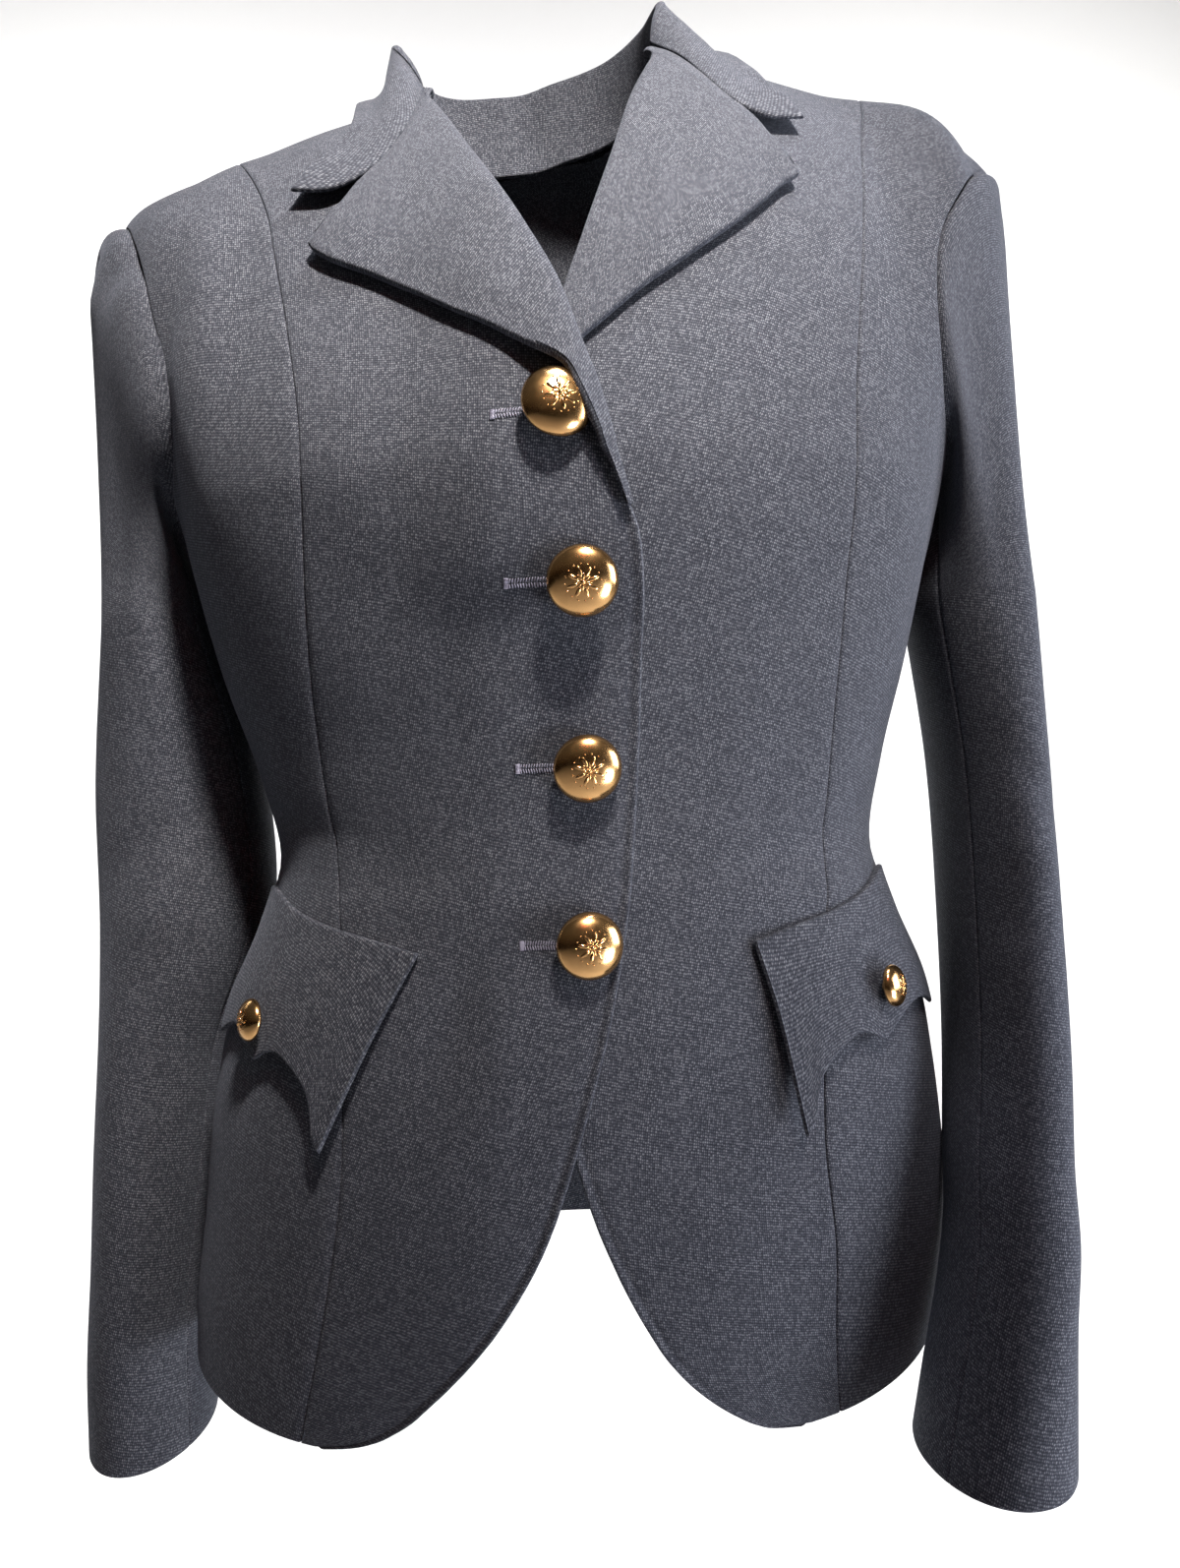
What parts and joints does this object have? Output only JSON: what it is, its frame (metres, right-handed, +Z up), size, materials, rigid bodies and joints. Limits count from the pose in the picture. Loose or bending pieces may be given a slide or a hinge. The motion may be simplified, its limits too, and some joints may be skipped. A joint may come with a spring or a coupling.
{
  "type": "uniform jacket",
  "caption": "Fitted single-breasted uniform jacket with peaked lapels, pointed pocket flaps, cutaway hem and domed gilt buttons, in worn form.",
  "frame": {"origin": "centre of the neck opening at the height of the neck points, where the wearer's shoulders hold the jacket", "axes": "+Z up, -Y to the front, -X to the wearer's right"},
  "size_m": [0.4575, 0.276, 0.6837],
  "materials": {
    "wool": "blue-grey melange wool twill, matt with a light nap",
    "gilt": "polished gilt"
  },
  "bodies": {
    "root": {"front_right": "wool", "front_left": "wool", "side_front_right": "wool", "side_front_left": "wool", "side_back_right": "wool", "side_back_left": "wool", "back_right": "wool", "back_left": "wool", "sleeve_top_right": "wool", "sleeve_top_left": "wool", "sleeve_under_right": "wool", "sleeve_under_left": "wool", "collar": "wool", "lapel_right": "wool", "lapel_left": "wool", "flap_right": "wool", "flap_left": "wool", "button_1": "gilt", "button_2": "gilt", "button_3": "gilt", "button_4": "gilt", "pocket_button_right": "gilt", "pocket_button_left": "gilt"}
  },
  "joints": []
}
